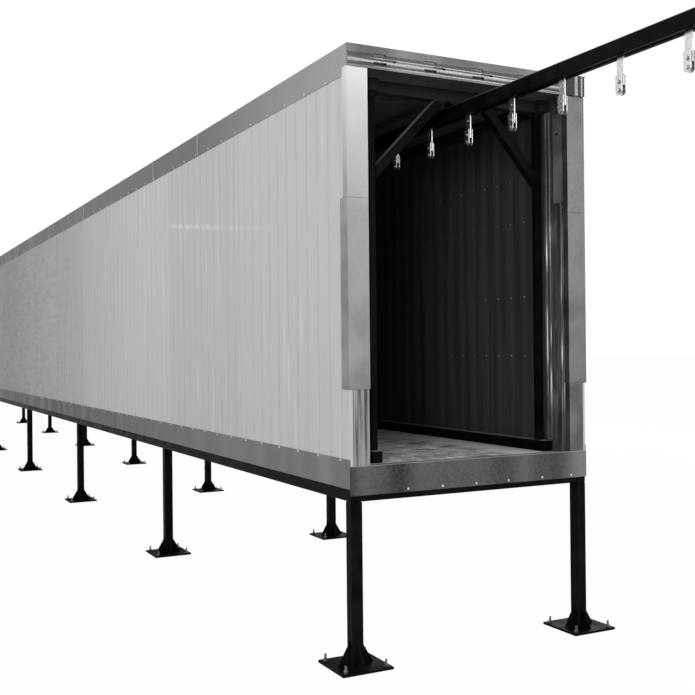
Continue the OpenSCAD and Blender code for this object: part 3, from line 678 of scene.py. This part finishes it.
def build_fascia_ends():
    """The right end of each fascia: a dark plate, two pale round beads down it, and a black strip
    along its top that paints the shadow gap there.
    """
    plates = bmesh.new()
    beads = bmesh.new()
    shadow_strip = bmesh.new()
    bottom, top = low("fascia_front").z + 1 * MM, ROOF_Z - 2 * MM
    edge_x = high("fascia_front").x
    for end in (-1, 1):
        face = end * abs(low("fascia_front").y)
        add_box(plates, (edge_x - 114 * MM, face, bottom), (edge_x, face + end * 1.5 * MM, top),
                0.5 * MM)
        for inset, radius in ((47 * MM, 10 * MM), (17 * MM, 6 * MM)):
            add_round(beads, (edge_x - inset, face + end * (3 * MM - radius / 2), bottom), UP,
                      radius, radius, 0, top - bottom, sides=24)
        # Painted shadow: a black strip standing for the dark gap along the top
        add_box(shadow_strip, (edge_x - 40 * MM, face, top + 0.5 * MM),
                (edge_x, face + end * 7 * MM, top + 4 * MM), 1 * MM)
    finish_piece(plates, "fascia_end_plates", "galvanised_sheet", [END_PLATE])
    finish_piece(beads, "fascia_end_beads", "galvanised_sheet", [PATCH], smooth_under=30)
    finish_piece(shadow_strip, "fascia_shadow_strip", "black_steel", [ENAMEL])


# Feet

def add_stud(mesh, place):
    """A threaded anchor stud with its washer and nut."""
    radius, pitch, length = 5 * MM, 1.75 * MM, 28 * MM
    foot = (place.x, place.y, PLATE_TOP)
    add_round(mesh, foot, UP, radius * 0.86, radius * 0.86, -0.8 * PLATE_TOP, length)
    for z in spaced(11 * MM, length - pitch, pitch):
        add_round(mesh, foot, UP, radius * 0.86, radius, z, z + pitch / 2)
        add_round(mesh, foot, UP, radius, radius * 0.86, z + pitch / 2, z + pitch)
    add_round(mesh, foot, UP, 10 * MM, 10 * MM, 0, 2 * MM, sides=16)
    nut = add_round(mesh, foot, UP, 9 * MM, 9 * MM, 2 * MM, 10 * MM, sides=6)
    edges = list({edge for vert in nut for edge in vert.link_edges})
    bmesh.ops.bevel(mesh, geom=edges, offset=0.8 * MM, segments=1, profile=0.5, affect="EDGES",
                    material=-1)


def add_bead(mesh, start, stop, radius):
    """A row of weld ripples between two points."""
    run = stop - start
    count = max(2, round(run.length / (1.6 * radius)))
    for i in range(count):
        bmesh.ops.create_icosphere(mesh, subdivisions=1, radius=radius,
                                   matrix=Matrix.Translation(start + run * ((i + 0.5) / count)))


def build_feet():
    studs = bmesh.new()
    beads = bmesh.new()
    reach, height, weld = 52 * MM, 88 * MM, 3 * MM
    for side in (-1, 1):
        for y in LEG_ROWS:
            foot = Vector((side * LEG_X, y, 0))
            for dx in (-1, 1):
                for dy in (-1, 1):
                    add_stud(studs, foot + Vector((dx, dy, 0)) * ANCHOR_OFFSET)
            for turn in range(4):
                around = Matrix.Translation(foot) @ Matrix.Rotation(turn * math.pi / 2, 4, "Z")
                for offset in (-1, 1):
                    inner = Vector((LEG_HALF + 2 * MM, offset * 4 * MM, PLATE_TOP + 1 * MM))
                    outer = inner + Vector((reach - 4 * MM, 0, 0))
                    head = inner + Vector((0, 0, height))
                    add_bead(beads, around @ inner, around @ outer, weld)
                    add_bead(beads, around @ (head - Vector((0, 0, 16 * MM))), around @ head,
                             weld)
    finish_piece(studs, "anchor_studs", "zinc_plated_steel", [ANCHOR_ZINC])
    finish_piece(beads, "leg_welds", "black_steel", [ENAMEL])


# Steelwork and carried nodes

TUBE_RADII = {
    "base_side_beam_left": 4, "base_side_beam_right": 4, "base_end_beam_front": 4,
    "base_end_beam_rear": 4, "base_cross_beams": 4, "legs_left": 4, "legs_right": 4,
    "foot_plates": 1, "leg_gussets": 1, "bottom_rail_left": 4, "bottom_rail_right": 4,
    "top_rail_left": 4, "top_rail_right": 4, "posts_left": 3, "posts_right": 3,
    "cross_beams": 4, "knee_braces_left": 3, "knee_braces_right": 3, "track_brackets": 1}


def dress_nodes():
    for name, radius in TUBE_RADII.items():
        rounded_copy(name, "black_steel", [ENAMEL], radius * MM)
    rounded_copy("conveyor_track", "black_steel", [ENAMEL], 0.4 * MM, 1, corner_radius=2.6 * MM)
    rounded_copy("hanger_straps", "zinc_plated_steel", [ZINC], 0.6 * MM, 1)
    rounded_copy("hanger_clevises", "zinc_plated_steel", [ZINC], 0.5 * MM, 1)
    for side, (base, top) in FLASHINGS.items():
        rounded_copy("base_flashing_" + side, "galvanised_sheet", [base], 0.9 * MM)
        rounded_copy("top_flashing_" + side, "galvanised_sheet", [top], 0.9 * MM)
    for end in ("front", "rear"):
        rounded_copy("threshold_" + end, "galvanised_sheet", [THRESHOLD], 0.9 * MM)
        rounded_copy("fascia_" + end, "galvanised_sheet", [FASCIA], smooth_under=25)
    rounded_copy("wall_end_caps", "galvanised_sheet", [CAP, COVER_RIGHT], 0.9 * MM)
    for name in ("lower_end_covers", "upper_end_covers"):
        rounded_copy(name, "galvanised_sheet", [COVER_LEFT, COVER_RIGHT], 1 * MM)
    for material, names in ((FLOOR_SHEET, ["floor_sheet"]),
                            (OILED, ["conveyor_chain", "trolley_wheels"]),
                            (ZINC, ["hanger_bolts", "clevis_pins"])):
        for name in names:
            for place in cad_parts[name].material_slots:
                place.material = material


# Stage and light

# How much of the studio floor's look is its own white, the rest being lit
FLOOR_WHITE = 0.96


def seen_ray(tree):
    """One for rays from the camera, off a mirror or through glass, and nought for the rest."""
    rays = add_node(tree, "ShaderNodeLightPath").node.outputs
    mirrored = add_node(tree, "ShaderNodeMath", {0: rays["Is Glossy Ray"],
                                                 1: rays["Is Transmission Ray"]},
                        operation="MAXIMUM")
    return add_node(tree, "ShaderNodeMath", {0: rays["Is Camera Ray"], 1: mirrored},
                    operation="MAXIMUM")


def add_stage():
    mesh = bmesh.new()
    bmesh.ops.create_grid(mesh, x_segments=1, y_segments=1, size=90)
    data = bpy.data.meshes.new("studio_floor")
    mesh.to_mesh(data)
    mesh.free()
    material = bpy.data.materials.new("studio_floor_paint")
    material.use_nodes = True
    tree = material.node_tree
    tree.nodes.clear()
    lit = add_node(tree, "ShaderNodeBsdfDiffuse", {"Color": linear("f2f2f2")})
    white = add_node(tree, "ShaderNodeEmission", {"Strength": 1.0})
    share = add_node(tree, "ShaderNodeMath", {0: seen_ray(tree), 1: FLOOR_WHITE},
                     operation="MULTIPLY")
    mixed = add_node(tree, "ShaderNodeMixShader", {0: share, 1: lit, 2: white})
    add_node(tree, "ShaderNodeOutputMaterial", {"Surface": mixed})
    data.materials.append(material)
    floor = bpy.data.objects.new("studio_floor", data)
    bpy.context.scene.collection.objects.link(floor)
    world = bpy.data.worlds.new("studio")
    world.use_nodes = True
    tree = world.node_tree
    tree.nodes.clear()
    soft = add_node(tree, "ShaderNodeBackground", {"Color": (1, 1, 1, 1), "Strength": 0.6})
    white = add_node(tree, "ShaderNodeBackground", {"Color": (1, 1, 1, 1), "Strength": 1.0})
    mixed = add_node(tree, "ShaderNodeMixShader", {0: seen_ray(tree), 1: soft, 2: white})
    add_node(tree, "ShaderNodeOutputWorld", {"Surface": mixed})
    bpy.context.scene.world = world


def add_lamp(name, place, target, size, power):
    data = bpy.data.lights.new(name, "AREA")
    data.shape = "RECTANGLE"
    data.size, data.size_y = size
    data.energy = power
    lamp = bpy.data.objects.new(name, data)
    lamp.location = place
    lamp.rotation_euler = (Vector(target) - Vector(place)).to_track_quat("-Z", "Y").to_euler()
    bpy.context.scene.collection.objects.link(lamp)


add_camera()
build_skins()
build_fixings()
build_laps()
build_reveals()
build_fascia_ends()
build_feet()
dress_nodes()
add_stage()
add_lamp("wall_softbox", (-9, -1.5, 5), (0, -1.5, 1.4), (16, 5), 420)
add_lamp("right_softbox", (9, 2.5, 5), (0, 2.5, 1.4), (16, 5), 420)
add_lamp("door_light_right", (3.0, -13.5, 2.8), (0, -7.5, 1.6), (4, 1.6), 190)
add_lamp("door_light_left", (-5.0, -12.5, 3.0), (0.4, -7.0, 1.2), (1.8, 1.8), 170)
bpy.context.scene.view_settings.view_transform = "Standard"
